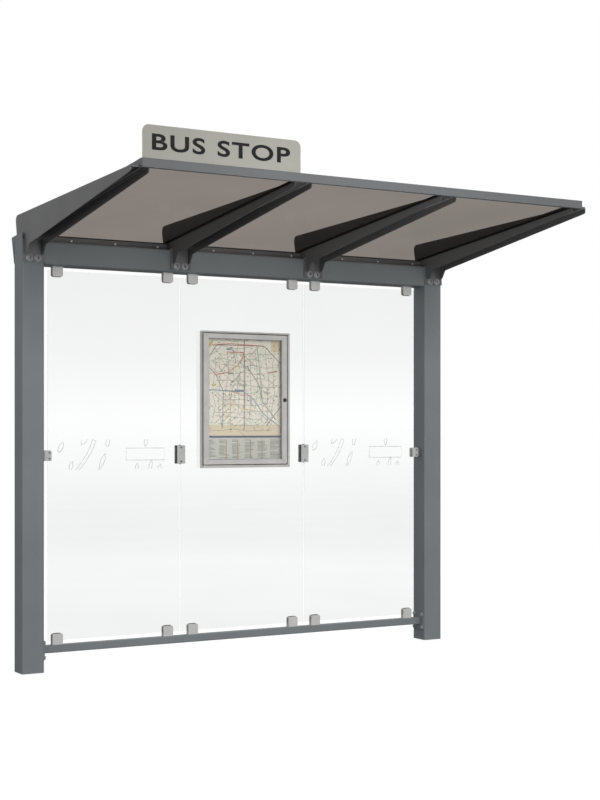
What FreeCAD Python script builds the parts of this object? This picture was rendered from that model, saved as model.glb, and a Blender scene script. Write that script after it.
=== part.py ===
import FreeCAD, Part
import os
from math import radians, tan
from FreeCAD import Vector

# Bus shelter: two posts, a top beam, a bottom rail, a glazed back wall, four
# folded-sheet roof arms, a smoked roof, a front fascia with a sign, a rear
# gutter and a lockable notice case with a hinged door.
#
# Frame: +X along the width, -Y towards the road, +Z up, millimetres. The origin
# is the centre of the left post's foot.

# ---- Driving dimensions -------------------------------------------------------

# Posts, top beam and bottom rail
post_spacing = 2500.0        # between the centres of the two posts
post_size = 120.0            # side of the square tube
post_height = 2215.0
tube_wall = 4.0
tube_corner = 9.0
foot_plate_thickness = 10.0
cap_thickness = 6.0
rail_size = 40.0
rail_wall = 3.0
rail_corner = 4.0
rail_underside = 92.0
rail_plate_size = 100.0
rail_plate_thickness = 6.0
rail_bolt_spacing = 76.0
rail_bolt_radius = 9.0
rail_bolt_head = 7.0

# Back wall glazing
glass_thickness = 8.0
glass_side_gap = 40.0        # from a post to the edge of the glass
glass_end_gap = 22.0         # from the beam or the rail to the glass
middle_pane_width = 780.0    # between the centres of the two joints
pane_gap = 8.0

# Glass clamps
clamp_width = 58.0
clamp_depth = 25.0
clamp_corner = 10.0
clamp_slot_clearance = 0.3
top_clamp_height = 53.0
bottom_clamp_height = 57.0
clamp_inset_post = 22.0      # from a pane's edge next to a post
clamp_inset_joint = 42.0     # from a pane's edge next to a joint
joint_clamp_width = 48.0
joint_clamp_height = 100.0
joint_clamp_depth = 34.0
joint_clamp_level = 1113.0   # height of the middle clamps' centres
side_clamp_width = 40.0
side_clamp_height = 55.0
side_clamp_grip = 16.0       # how far the side clamp covers the glass
side_bracket_height = 40.0
side_bracket_depth = 20.0

# Roof
arm_count = 4
arm_width = 92.0             # over the two plates of an arm
arm_sheet = 4.0
roof_slope = 6.05            # degrees, falling towards the back
roof_rise = 40.0             # from the beam's top to the panels' underside, over its centre
roof_reach = 1389.0          # from the posts' centre line to the fascia's face
panel_thickness = 10.0
panel_overhang = 15.0        # past the back of the posts, over the gutter
panel_edge_gap = 5.0         # from the panel's front edge to the fascia's face
seal_width = 6.0
seal_height = 12.0

# Arms: profile of the side plates
arm_back_overhang = 18.0     # past the back of the posts
arm_back_height = 138.0      # top corner at the back, above the beam
arm_heel_height = 41.0
arm_back_corner = 15.0
arm_top_corner = 28.0
arm_tip_top_drop = 32.0      # top corner at the tip, below the fascia's top
arm_tip_drop = 19.0          # lowest point of the tip, below the fascia's underside
arm_tip_corner = 14.0
arm_root_drop = 25.0         # start of the lower edge, below the beam's top
arm_root_reach = 56.0        # leg's upper corner, in front of the flange
arm_root_corner = 16.0
arm_leg_reach = 27.0         # leg's lower corner, in front of the flange
arm_leg_drop = 69.0          # leg's lower corner, below the beam's top
arm_leg_corner = 8.0
arm_foot_drop = 77.0         # leg's end on the flange, below the beam's top
arm_front_gap = 2.0          # from the fascia to the tips of the side plates
flange_thickness = 6.0
flange_drop = 108.0          # lower edge of the flange, below the beam's top
seat_thickness = 6.0
arm_bolt_spacing = 45.0
arm_bolt_drop = 90.0         # below the beam's top
arm_bolt_radius = 16.0
arm_bolt_head = 9.0
arm_bolt_socket = 5.0
web_rise = 6.0               # web's underside above the panels' underside

# Fascia and sign
fascia_height = 40.0
fascia_depth = 25.0
fascia_sheet = 3.0
ledge_clearance = 0.6
sign_width = 802.0
sign_height = 148.0
sign_thickness = 3.0
sign_foot = 20.0
sign_corner = 32.0
sign_screw_radius = 5.0
sign_screw_head = 3.0

# Back strip and gutter
strip_thickness = 4.0
strip_front = 2.0            # front of the strip, in front of the centre line
strip_seal_height = 7.0      # black seal between the strip and the panel
strip_clearance = 0.4
strip_screw_count = 3
strip_screw_shift = 0.75     # first screw, in spacings from the strip's left end
strip_screw_radius = 4.5
strip_screw_head = 2.5
gutter_sheet = 2.0
gutter_drop = 111.0          # lowest line, below the beam's top
gutter_rise = 26.0           # back edge, above the beam's top
gutter_lean = 37.0           # how far the back wall leans out
gutter_end_thickness = 3.0
gutter_end_slope = 0.1

# Notice case
case_width = 540.0
case_height = 750.0
case_depth = 48.0
case_underside = 1038.0
case_back_sheet = 2.0
case_left_wall = 6.0
case_right_lip = 12.0
case_top_lip = 9.0
case_bottom_lip = 14.0
backboard_thickness = 12.0
backboard_clearance = 1.0
poster_thickness = 0.8
poster_margin = 8.0
door_thickness = 16.0
door_gap = 5.0
door_stile = 32.0
door_rail = 26.0
glazing_thickness = 4.0
glazing_overlap = 8.0
glazing_clearance = 0.3
pivot_radius = 3.0
pivot_clearance = 0.06
pivot_depth = 7.0            # how far a pivot enters the case's lip
lock_rise = 356.0            # above the door's lower edge
lock_inset = 15.0
lock_radius = 11.0
lock_proud = 3.0
lock_barrel_radius = 6.0
lock_barrel_tail = 5.0
fixing_radius = 22.0
fixing_head = 6.0
fixing_stem_radius = 4.0
fixing_inset = 70.0          # from the case's sides to its fixings

# ---- Derived places -----------------------------------------------------------

half_post = post_size / 2
beam_top = post_height
beam_underside = post_height - post_size
left_face = half_post
right_face = post_spacing - half_post
bay = post_spacing / (arm_count - 1)
arm_centres = [index * bay for index in range(arm_count)]

glass_left = left_face + glass_side_gap
glass_right = right_face - glass_side_gap
glass_top = beam_underside - glass_end_gap
glass_bottom = rail_underside + rail_size + glass_end_gap
joint_left = (post_spacing - middle_pane_width) / 2
joint_right = (post_spacing + middle_pane_width) / 2
glass_front = -glass_thickness / 2
glass_back = glass_thickness / 2

fascia_face = -roof_reach
fascia_back = fascia_face + fascia_depth
slope = tan(radians(roof_slope))

case_left = (post_spacing - case_width) / 2
case_right = case_left + case_width
case_top = case_underside + case_height
case_back = glass_front
case_front = case_back - case_depth
door_left = case_left
door_right = case_right - case_right_lip - door_gap
door_bottom = case_underside + case_bottom_lip + door_gap
door_top = case_top - case_top_lip - door_gap
door_back = case_front + door_thickness
lock_height = door_bottom + lock_rise
pivot_x = door_left + door_thickness / 2
pivot_y = case_front + door_thickness / 2


def roof_underside(y):
    """Height of the roof panels' lower face at a distance y from the posts."""
    return beam_top + roof_rise - slope * y


ledge_top = roof_underside(fascia_back) - ledge_clearance
fascia_underside = ledge_top - fascia_sheet
fascia_top = fascia_underside + fascia_height


# ---- Shape helpers ------------------------------------------------------------

def block(x_range, y_range, z_range):
    size = [high - low for low, high in (x_range, y_range, z_range)]
    return Part.makeBox(*size, Vector(x_range[0], y_range[0], z_range[0]))


def cylinder(radius, start, end):
    axis = Vector(*end) - Vector(*start)
    return Part.makeCylinder(radius, axis.Length, Vector(*start), axis)


def outline(corners):
    """Closed face through corners (point, radius); a radius rounds its corner."""
    count = len(corners)
    edges = []
    starts = []
    ends = []
    for index, (point, radius) in enumerate(corners):
        before = (corners[index - 1][0] - point).normalize()
        after = (corners[(index + 1) % count][0] - point).normalize()
        if radius == 0:
            starts.append(point)
            ends.append(point)
            continue
        half_turn = before.getAngle(after) / 2
        setback = radius / tan(half_turn)
        first = point + before * setback
        last = point + after * setback
        to_centre = (before + after).normalize()
        centre = point + to_centre * (setback ** 2 + radius ** 2) ** 0.5
        middle = centre - to_centre * radius
        edges.append(Part.Arc(first, middle, last).toShape())
        starts.append(first)
        ends.append(last)
    for index in range(count):
        run_end = starts[(index + 1) % count]
        if ends[index].distanceToPoint(run_end) > 1e-6:
            edges.append(Part.LineSegment(ends[index], run_end).toShape())
    return Part.Face(Part.Wire(Part.sortEdges(edges)[0]))


def side_plate(corners, x_low, x_high):
    """Prism across X from a profile of (y, z, radius) corners."""
    points = [(Vector(x_low, y, z), radius) for y, z, radius in corners]
    return outline(points).extrude(Vector(x_high - x_low, 0, 0))


def front_plate(corners, y_low, y_high):
    """Prism along Y from a profile of (x, z, radius) corners."""
    points = [(Vector(x, y_low, z), radius) for x, z, radius in corners]
    return outline(points).extrude(Vector(0, y_high - y_low, 0))


def plan_plate(corners, z_low, z_high):
    """Prism along Z from a plan of (x, y, radius) corners."""
    points = [(Vector(x, y, z_low), radius) for x, y, radius in corners]
    return outline(points).extrude(Vector(0, 0, z_high - z_low))


def rectangle(low, high, radius):
    """The four rounded corners of a rectangle, for the plate functions."""
    return [
        (low[0], low[1], radius),
        (high[0], low[1], radius),
        (high[0], high[1], radius),
        (low[0], high[1], radius),
    ]


def union(shapes):
    result = shapes[0]
    for shape in shapes[1:]:
        result = result.fuse(shape)
    return result.removeSplitter()


def mirrored(shape):
    """The same shape at the shelter's other end."""
    return shape.mirror(Vector(post_spacing / 2, 0, 0), Vector(1, 0, 0))


def save(shapes, node):
    """Write one node from its solids."""
    solids = shapes if isinstance(shapes, list) else [shapes]
    shape = solids[0] if len(solids) == 1 else Part.makeCompound(solids)
    shape.exportStep(f"parts/{node}.step")


# ---- Posts, beam and rail -----------------------------------------------------

def square(size, radius):
    return rectangle((-size / 2, -size / 2), (size / 2, size / 2), radius)


def make_post():
    bore_size = post_size - 2 * tube_wall
    bore_corner = tube_corner - tube_wall
    tube = plan_plate(square(post_size, tube_corner), 0, post_height)
    bore = plan_plate(square(bore_size, bore_corner), 0, post_height)
    return tube.cut(bore)


def make_post_plug(low, high):
    """Plate that closes the inside of a post between two heights."""
    bore_size = post_size - 2 * tube_wall
    return plan_plate(square(bore_size, tube_corner - tube_wall), low, high)


def make_tube_along_x(size, wall, corner, x_range, z_centre):
    half = size / 2
    inner = half - wall
    outside = rectangle((-half, z_centre - half), (half, z_centre + half), corner)
    inside = rectangle((-inner, z_centre - inner), (inner, z_centre + inner), corner - wall)
    return side_plate(outside, *x_range).cut(side_plate(inside, *x_range))


def make_frame():
    post = make_post()
    foot = make_post_plug(0, foot_plate_thickness)
    cap = make_post_plug(post_height - cap_thickness, post_height)
    save(post, "post_left")
    save(mirrored(post), "post_right")
    save(foot, "foot_plate_left")
    save(mirrored(foot), "foot_plate_right")
    save([cap, mirrored(cap)], "post_caps")
    beam_centre = post_height - post_size / 2
    beam = make_tube_along_x(post_size, tube_wall, tube_corner, (left_face, right_face), beam_centre)
    save(beam, "top_beam")


def make_rail():
    centre = rail_underside + rail_size / 2
    half_plate = rail_plate_size / 2
    plate_face = left_face + rail_plate_thickness
    ends = (plate_face, right_face - rail_plate_thickness)
    save(make_tube_along_x(rail_size, rail_wall, rail_corner, ends, centre), "bottom_rail")
    plate = block(
        (left_face, plate_face),
        (-half_plate, half_plate),
        (centre - half_plate, centre + half_plate),
    )
    save([plate, mirrored(plate)], "rail_end_plates")
    bolts = []
    for y in (-rail_bolt_spacing / 2, rail_bolt_spacing / 2):
        for z in (centre - rail_bolt_spacing / 2, centre + rail_bolt_spacing / 2):
            head = cylinder(rail_bolt_radius, (plate_face, y, z), (plate_face + rail_bolt_head, y, z))
            bolts.append(head)
            bolts.append(mirrored(head))
    save(bolts, "rail_bolts")


# ---- Glazing and its clamps ---------------------------------------------------

def fixing_places():
    """Where the notice case is bolted through the middle pane."""
    return [
        (x, z)
        for x in (case_left + fixing_inset, case_right - fixing_inset)
        for z in (case_underside + fixing_inset, case_top - fixing_inset)
    ]


def pane_edges():
    half_gap = pane_gap / 2
    return [
        (glass_left, joint_left - half_gap),
        (joint_left + half_gap, joint_right - half_gap),
        (joint_right + half_gap, glass_right),
    ]


def make_panes():
    names = ("glass_panel_left", "glass_panel_middle", "glass_panel_right")
    for name, (low, high) in zip(names, pane_edges()):
        pane = block((low, high), (glass_front, glass_back), (glass_bottom, glass_top))
        if name == "glass_panel_middle":
            for x, z in fixing_places():
                start = (x, glass_front, z)
                hole = cylinder(fixing_stem_radius + 1, start, (x, glass_back, z))
                pane = pane.cut(hole)
        save(pane, name)


def clamp_starts():
    """Left edge of each clamp: two for a pane."""
    (left_low, left_high), (middle_low, middle_high), (right_low, right_high) = pane_edges()
    return [
        left_low + clamp_inset_post,
        left_high - clamp_inset_joint - clamp_width,
        middle_low + clamp_inset_joint,
        middle_high - clamp_inset_joint - clamp_width,
        right_low + clamp_inset_joint,
        right_high - clamp_inset_post - clamp_width,
    ]


def make_end_clamp(x, base, tip, glass_edge):
    """Clamp that stands on the beam or rail at base and grips the glass edge."""
    corners = [
        (x, base, 0),
        (x, tip, clamp_corner),
        (x + clamp_width, tip, clamp_corner),
        (x + clamp_width, base, 0),
    ]
    body = front_plate(corners, -clamp_depth / 2, clamp_depth / 2)
    reach = clamp_slot_clearance if base > tip else -clamp_slot_clearance
    slot_half = glass_thickness / 2 + clamp_slot_clearance
    slot_heights = sorted((glass_edge + reach, tip))
    slot = block((x, x + clamp_width), (-slot_half, slot_half), slot_heights)
    return body.cut(slot)


def make_middle_clamp(x_low, x_high, height, corner, slot_range):
    """Clamp at mid height, slotted for the glass over slot_range."""
    half = height / 2
    low = (x_low, joint_clamp_level - half)
    high = (x_high, joint_clamp_level + half)
    body = front_plate(rectangle(low, high, corner), -joint_clamp_depth / 2, joint_clamp_depth / 2)
    slot_half = glass_thickness / 2 + clamp_slot_clearance
    slot = block(slot_range, (-slot_half, slot_half), (low[1], high[1]))
    return body.cut(slot)


def make_joint_clamp(centre):
    """Two plates over a joint, joined by a rib in the gap between the panes."""
    low = centre - joint_clamp_width / 2
    high = centre + joint_clamp_width / 2
    rib_half = pane_gap / 2 - clamp_slot_clearance
    clamp = make_middle_clamp(low, high, joint_clamp_height, 3.0, (low, centre - rib_half))
    slot_half = glass_thickness / 2 + clamp_slot_clearance
    bottom = joint_clamp_level - joint_clamp_height / 2
    top = joint_clamp_level + joint_clamp_height / 2
    return clamp.cut(block((centre + rib_half, high), (-slot_half, slot_half), (bottom, top)))


def make_clamps():
    rail_top = rail_underside + rail_size
    top_tip = beam_underside - top_clamp_height
    bottom_tip = rail_top + bottom_clamp_height
    starts = clamp_starts()
    save([make_end_clamp(x, beam_underside, top_tip, glass_top) for x in starts], "top_glass_clamps")
    save([make_end_clamp(x, rail_top, bottom_tip, glass_bottom) for x in starts], "bottom_glass_clamps")
    save(make_joint_clamp(joint_left), "joint_clamp_left")
    save(make_joint_clamp(joint_right), "joint_clamp_right")
    clamp_end = glass_left + side_clamp_grip
    clamp_start = clamp_end - side_clamp_width
    slot_start = glass_left - clamp_slot_clearance
    clamp = make_middle_clamp(clamp_start, clamp_end, side_clamp_height, 5.0, (slot_start, clamp_end))
    bracket = block(
        (left_face, clamp_start),
        (-side_bracket_depth / 2, side_bracket_depth / 2),
        (joint_clamp_level - side_bracket_height / 2, joint_clamp_level + side_bracket_height / 2),
    )
    save(clamp, "side_clamp_left")
    save(mirrored(clamp), "side_clamp_right")
    save([bracket, mirrored(bracket)], "side_brackets")


# ---- Roof arms ----------------------------------------------------------------

def arm_profile():
    """Side plate of an arm, as (y, z, radius) corners from the heel round."""
    front = fascia_back + arm_front_gap
    flange_face = -half_post - flange_thickness
    return [
        (half_post - 1, beam_top, 0),
        (half_post - 1, beam_top + arm_heel_height, arm_back_corner),
        (half_post + arm_back_overhang, beam_top + arm_back_height, arm_top_corner),
        (front, fascia_top - arm_tip_top_drop, 0),
        (front, fascia_underside - arm_tip_drop, arm_tip_corner),
        (flange_face - arm_root_reach, beam_top - arm_root_drop, arm_root_corner),
        (flange_face - arm_leg_reach, beam_top - arm_leg_drop, arm_leg_corner),
        (-half_post, beam_top - arm_foot_drop, 0),
        (-half_post, beam_top, 0),
    ]


def make_web(x_low, x_high):
    """Sheet between the plates, in line with the roof panels."""
    back = half_post - 1
    low_front = roof_underside(fascia_back) + web_rise
    low_back = roof_underside(back) + web_rise
    corners = [
        (fascia_back, low_front, 0),
        (back, low_back, 0),
        (back, low_back + arm_sheet, 0),
        (fascia_back, low_front + arm_sheet, 0),
    ]
    return side_plate(corners, x_low, x_high)


def make_arm(centre):
    half_width = arm_width / 2
    inside = half_width - arm_sheet
    profile = arm_profile()
    flange_face = -half_post - flange_thickness
    front_tab_heights = (fascia_underside + 1, fascia_top - arm_tip_top_drop)
    return union([
        side_plate(profile, centre - half_width, centre - inside),
        side_plate(profile, centre + inside, centre + half_width),
        make_web(centre - inside, centre + inside),
        block(
            (centre - half_post, centre + half_post),
            (flange_face, -half_post),
            (beam_top - flange_drop, beam_top + seat_thickness),
        ),
        block(
            (centre - half_width, centre + half_width),
            (-half_post, half_post - 1),
            (beam_top, beam_top + seat_thickness),
        ),
        block((centre - inside, centre + inside), (fascia_back, fascia_back + arm_sheet), front_tab_heights),
    ])


def side_return_slot(clearance):
    """Space of the fascia's side return at the left end, grown by a clearance."""
    low = clearance + fascia_sheet
    corners = [
        (fascia_face, roof_underside(fascia_face) - low, 0),
        (half_post, roof_underside(half_post) - low, 0),
        (half_post, fascia_top + fascia_height, 0),
        (fascia_face, fascia_top + fascia_height, 0),
    ]
    return side_plate(corners, -clearance, fascia_sheet + clearance)


def make_arms():
    slot = side_return_slot(0.3)
    for index, centre in enumerate(arm_centres):
        arm = make_arm(centre)
        if index == 0:
            arm = arm.cut(slot)
        if index == arm_count - 1:
            arm = arm.cut(mirrored(slot))
        save(arm, f"roof_arm_{index + 1}")


def make_dome_bolt(x, y, z):
    """Dome-headed bolt with a socket, its head standing out towards -Y."""
    centre_y = y + (arm_bolt_radius ** 2 - arm_bolt_head ** 2) / (2 * arm_bolt_head)
    ball_radius = centre_y - y + arm_bolt_head
    ball = Part.makeSphere(ball_radius, Vector(x, centre_y, z))
    head = ball.common(cylinder(arm_bolt_radius, (x, y - arm_bolt_head, z), (x, y, z)))
    socket = cylinder(arm_bolt_socket, (x, y - arm_bolt_head, z), (x, y - arm_bolt_head / 2, z))
    return head.cut(socket)


def make_arm_bolts():
    face = -half_post - flange_thickness
    bolts = [
        make_dome_bolt(centre + side * arm_bolt_spacing / 2, face, beam_top - arm_bolt_drop)
        for centre in arm_centres
        for side in (-1, 1)
    ]
    save(bolts, "arm_bolts")


# ---- Roof panels, seals, fascia, sign -------------------------------------------

def roof_strip(x_range, front, back, low_offset, thickness):
    """Slab that follows the roof's slope, low_offset above the panels' underside."""
    corners = [
        (front, roof_underside(front) + low_offset, 0),
        (back, roof_underside(back) + low_offset, 0),
        (back, roof_underside(back) + low_offset + thickness, 0),
        (front, roof_underside(front) + low_offset + thickness, 0),
    ]
    return side_plate(corners, *x_range)


def bays():
    """Clear width between the arms' plates in each bay."""
    half = arm_width / 2
    return [(low + half, high - half) for low, high in zip(arm_centres, arm_centres[1:])]


def make_roof():
    names = ("roof_panel_left", "roof_panel_middle", "roof_panel_right")
    front = fascia_face + panel_edge_gap
    back = half_post + panel_overhang
    seals = []
    for name, (low, high) in zip(names, bays()):
        sheet = (low + seal_width, high - seal_width)
        save(roof_strip(sheet, front, back, 0, panel_thickness), name)
        for edges in ((low, sheet[0]), (sheet[1], high)):
            seals.append(roof_strip(edges, fascia_back + 1, half_post - 1, 0, seal_height))
        seals.append(make_strip_seal(low, high))
    save(seals, "roof_seals")


def make_fascia():
    """Channel along the front with a flat return down each end of the roof."""
    inside = fascia_face + fascia_sheet
    along = (0, post_spacing)
    side_return = roof_strip(
        (0, fascia_sheet),
        fascia_face,
        half_post - 1,
        -fascia_sheet - ledge_clearance,
        fascia_height,
    )
    above_face = block((-1, post_spacing + 1), (fascia_face, fascia_back), (fascia_top, fascia_top + 50))
    side_return = side_return.cut(above_face)
    fascia = union([
        block(along, (fascia_face, inside), (fascia_underside, fascia_top)),
        block(along, (inside, fascia_back), (fascia_underside, ledge_top)),
        block(along, (inside, fascia_back), (fascia_top - fascia_sheet, fascia_top)),
        side_return,
        mirrored(side_return),
    ])
    save(fascia, "roof_fascia")


def make_sign():
    foot_back = fascia_face + sign_thickness + sign_foot
    top = fascia_top + sign_height
    corners = [
        (0, fascia_top, 0),
        (sign_width, fascia_top, 0),
        (sign_width, top, sign_corner),
        (0, top, sign_corner),
    ]
    face = front_plate(corners, fascia_face, fascia_face + sign_thickness)
    foot = block(
        (sign_corner, sign_width - sign_corner),
        (fascia_face, foot_back),
        (fascia_top, fascia_top + sign_thickness),
    )
    save(union([face, foot]), "sign_plate")
    base = fascia_top + sign_thickness
    y = fascia_face + sign_thickness + sign_foot / 2
    places = [sign_width * share for share in (0.1, 0.5, 0.9)]
    save(
        [cylinder(sign_screw_radius, (x, y, base), (x, y, base + sign_screw_head)) for x in places],
        "sign_screws",
    )


# ---- Back strips and gutter -----------------------------------------------------

def strip_top():
    """Top of the back strips, below the seal that carries the panels."""
    upright_back = strip_thickness - strip_front
    return roof_underside(upright_back) - strip_clearance - strip_seal_height


def make_strip_seal(low, high):
    """Seal on top of a back strip, under the panel."""
    base = strip_top()
    across = (-strip_front, strip_thickness - strip_front)
    return block((low, high), across, (base, base + strip_seal_height))


def make_back_strips():
    """Angles on the beam that carry the back edge of the roof panels."""
    strips = []
    screws = []
    front = -strip_front
    upright_back = front + strip_thickness
    for low, high in bays():
        top = strip_top()
        upright = block((low, high), (front, upright_back), (beam_top, top))
        foot = block((low, high), (upright_back, half_post), (beam_top, beam_top + strip_thickness))
        strips.append(union([upright, foot]))
        pitch = (high - low) / strip_screw_count
        level = (beam_top + top) / 2
        for index in range(strip_screw_count):
            x = low + (index + strip_screw_shift) * pitch
            head_face = (x, front - strip_screw_head, level)
            screws.append(cylinder(strip_screw_radius, head_face, (x, front, level)))
    save(strips, "roof_back_strips")
    save(screws, "strip_screws")


def make_gutter():
    """Folded sheet behind the beam: a flat wall and a wall that leans out."""
    bottom = beam_top - gutter_drop
    top = beam_top + gutter_rise
    lean = gutter_lean / (top - bottom)
    width = gutter_sheet * (1 + lean ** 2) ** 0.5
    inner_bottom = bottom + (gutter_sheet + width) / lean
    flat_wall = [
        (half_post, beam_top, 0),
        (half_post, bottom, 0),
        (half_post + gutter_sheet, inner_bottom, 0),
        (half_post + gutter_sheet, beam_top, 0),
    ]
    leaning_wall = [
        (half_post, bottom, 0),
        (half_post + gutter_lean, top, 0),
        (half_post + gutter_lean - width, top, 0),
        (half_post + gutter_sheet, inner_bottom, 0),
    ]
    end = -half_post + gutter_end_thickness
    along = (end, post_spacing - end)
    save([side_plate(flat_wall, *along), side_plate(leaning_wall, *along)], "rear_gutter")
    front_top = top + gutter_end_slope * (post_size + gutter_lean)
    cheek_corners = [
        (half_post, beam_top, 0),
        (half_post, bottom, 0),
        (half_post + gutter_lean, top, 3),
        (-half_post, front_top, 3),
        (-half_post, beam_top, 0),
    ]
    cheek = side_plate(cheek_corners, -half_post, end)
    save(cheek, "gutter_end_left")
    save(mirrored(cheek), "gutter_end_right")


# ---- Notice case ----------------------------------------------------------------

def make_case():
    """Back sheet on the middle pane, and the four bars that stand on it."""
    sheet_front = case_back - case_back_sheet
    across = (case_left, case_right)
    depth = (case_front, sheet_front)
    sheet = block(across, (sheet_front, case_back), (case_underside, case_top))
    for x, z in fixing_places():
        sheet = sheet.cut(cylinder(fixing_stem_radius, (x, sheet_front, z), (x, case_back, z)))
    low_face = case_underside + case_bottom_lip
    high_face = case_top - case_top_lip
    between = (low_face, high_face)
    left_bar = block((case_left, case_left + case_left_wall), (door_back + door_gap, sheet_front), between)
    right_bar = block((case_right - case_right_lip, case_right), depth, between)
    top_bar = block(across, depth, (high_face, case_top))
    bottom_bar = block(across, depth, (case_underside, low_face))
    hole_radius = pivot_radius + pivot_clearance
    reach = pivot_depth + 1
    pivot = (pivot_x, pivot_y)
    top_bar = top_bar.cut(cylinder(hole_radius, (*pivot, high_face), (*pivot, high_face + reach)))
    bottom_bar = bottom_bar.cut(cylinder(hole_radius, (*pivot, low_face - reach), (*pivot, low_face)))
    save([sheet, left_bar, right_bar, top_bar, bottom_bar], "notice_case")


def make_case_contents():
    inner_left = case_left + case_left_wall + backboard_clearance
    inner_right = case_right - case_right_lip - backboard_clearance
    inner_bottom = case_underside + case_bottom_lip + backboard_clearance
    inner_top = case_top - case_top_lip - backboard_clearance
    board_back = case_back - case_back_sheet
    board_front = board_back - backboard_thickness
    board = block((inner_left, inner_right), (board_front, board_back), (inner_bottom, inner_top))
    save(board, "notice_backboard")
    poster = block(
        (inner_left + poster_margin, inner_right - poster_margin),
        (board_front - poster_thickness, board_front),
        (inner_bottom + poster_margin, inner_top - poster_margin),
    )
    save(poster, "notice_poster")
    fixings = []
    for x, z in fixing_places():
        head = cylinder(fixing_radius, (x, glass_back, z), (x, glass_back + fixing_head, z))
        stem = cylinder(fixing_stem_radius, (x, board_back, z), (x, glass_back, z))
        fixings.append(head.fuse(stem))
    save(fixings, "notice_fixings")


def make_door():
    half = door_thickness / 2
    plan = [
        (door_left, case_front, half - 0.05),
        (door_right, case_front, 1),
        (door_right, door_back, 1),
        (door_left, door_back, half - 0.05),
    ]
    frame = plan_plate(plan, door_bottom, door_top)
    low = (door_left + door_stile, door_bottom + door_rail)
    high = (door_right - door_stile, door_top - door_rail)
    window = block((low[0], high[0]), (case_front, door_back), (low[1], high[1]))
    rebate_back = door_back
    sheet_back = door_back - 2
    sheet_front = sheet_back - glazing_thickness
    grown = glazing_overlap + glazing_clearance
    rebate = block(
        (low[0] - grown, high[0] + grown),
        (sheet_front, rebate_back),
        (low[1] - grown, high[1] + grown),
    )
    lock_x = door_right - lock_inset
    lock_face = (lock_x, case_front, lock_height)
    lock_hole = cylinder(lock_barrel_radius, lock_face, (lock_x, door_back, lock_height))
    save(frame.cut(window).cut(rebate).cut(lock_hole), "notice_door_frame")
    glazing = block(
        (low[0] - glazing_overlap, high[0] + glazing_overlap),
        (sheet_front, sheet_back),
        (low[1] - glazing_overlap, high[1] + glazing_overlap),
    )
    save(glazing, "notice_door_glazing")
    face = cylinder(lock_radius, (lock_x, case_front - lock_proud, lock_height), lock_face)
    tail = door_back + lock_barrel_tail
    barrel = cylinder(lock_barrel_radius, lock_face, (lock_x, tail, lock_height))
    save(face.fuse(barrel), "notice_lock")
    reach = door_gap + pivot_depth
    pins = [
        cylinder(pivot_radius, (pivot_x, pivot_y, door_top), (pivot_x, pivot_y, door_top + reach)),
        cylinder(pivot_radius, (pivot_x, pivot_y, door_bottom - reach), (pivot_x, pivot_y, door_bottom)),
    ]
    save(pins, "notice_door_pivots")


os.makedirs("parts", exist_ok=True)
make_frame()
make_rail()
make_panes()
make_clamps()
make_arms()
make_arm_bolts()
make_roof()
make_fascia()
make_sign()
make_back_strips()
make_gutter()
make_case()
make_case_contents()
make_door()
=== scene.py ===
from math import cos, pi, radians, sin
from random import Random

import bmesh
import bpy
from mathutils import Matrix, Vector


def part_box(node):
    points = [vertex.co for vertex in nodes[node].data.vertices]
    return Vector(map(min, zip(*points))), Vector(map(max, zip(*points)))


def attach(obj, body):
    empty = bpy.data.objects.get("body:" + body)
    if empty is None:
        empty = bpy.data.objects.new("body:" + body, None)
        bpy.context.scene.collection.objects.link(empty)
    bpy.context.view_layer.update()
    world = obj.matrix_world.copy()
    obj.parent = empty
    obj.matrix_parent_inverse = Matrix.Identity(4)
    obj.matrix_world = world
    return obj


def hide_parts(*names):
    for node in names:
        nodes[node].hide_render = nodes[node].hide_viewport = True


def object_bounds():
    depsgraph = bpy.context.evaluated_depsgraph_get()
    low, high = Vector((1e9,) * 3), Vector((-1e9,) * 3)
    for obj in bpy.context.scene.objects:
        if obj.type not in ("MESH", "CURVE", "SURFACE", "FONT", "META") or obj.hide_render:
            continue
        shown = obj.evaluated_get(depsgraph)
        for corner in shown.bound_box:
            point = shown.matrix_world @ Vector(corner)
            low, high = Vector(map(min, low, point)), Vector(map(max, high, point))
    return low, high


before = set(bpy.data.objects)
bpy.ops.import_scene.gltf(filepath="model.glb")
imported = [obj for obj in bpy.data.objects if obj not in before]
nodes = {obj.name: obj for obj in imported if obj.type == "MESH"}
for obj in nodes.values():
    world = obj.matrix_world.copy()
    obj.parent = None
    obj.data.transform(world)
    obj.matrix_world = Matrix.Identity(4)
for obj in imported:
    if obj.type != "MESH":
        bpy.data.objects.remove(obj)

cad_low, cad_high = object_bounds()
scene = bpy.context.scene


# ---- Camera ---------------------------------------------------------------------

def make_camera():
    """Level camera at eye height, in front of the shelter and to its left."""
    data = bpy.data.cameras.new("camera")
    data.sensor_width = 36.0
    data.lens = 68.59
    data.shift_y = 0.0364
    data.clip_end = 200.0
    camera = bpy.data.objects.new("camera", data)
    camera.location = (-2.7859, -7.4626, 1.2504)
    camera.rotation_euler = (radians(90), 0, radians(-30.545))
    scene.collection.objects.link(camera)
    scene.camera = camera


make_camera()


# ---- Material graph helper --------------------------------------------------------

NOISE_LOW, NOISE_HIGH = 0.3, 0.7     # between these lies most of a noise


def fill_ramp(node, stops):
    """Sets a colour ramp's stops, each a (position, colour)."""
    elements = node.color_ramp.elements
    while len(elements) < len(stops):
        elements.new(0.5)
    for element, (position, colour) in zip(elements, stops):
        element.position = position
        element.color = tuple(colour) + (1.0,)


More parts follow.
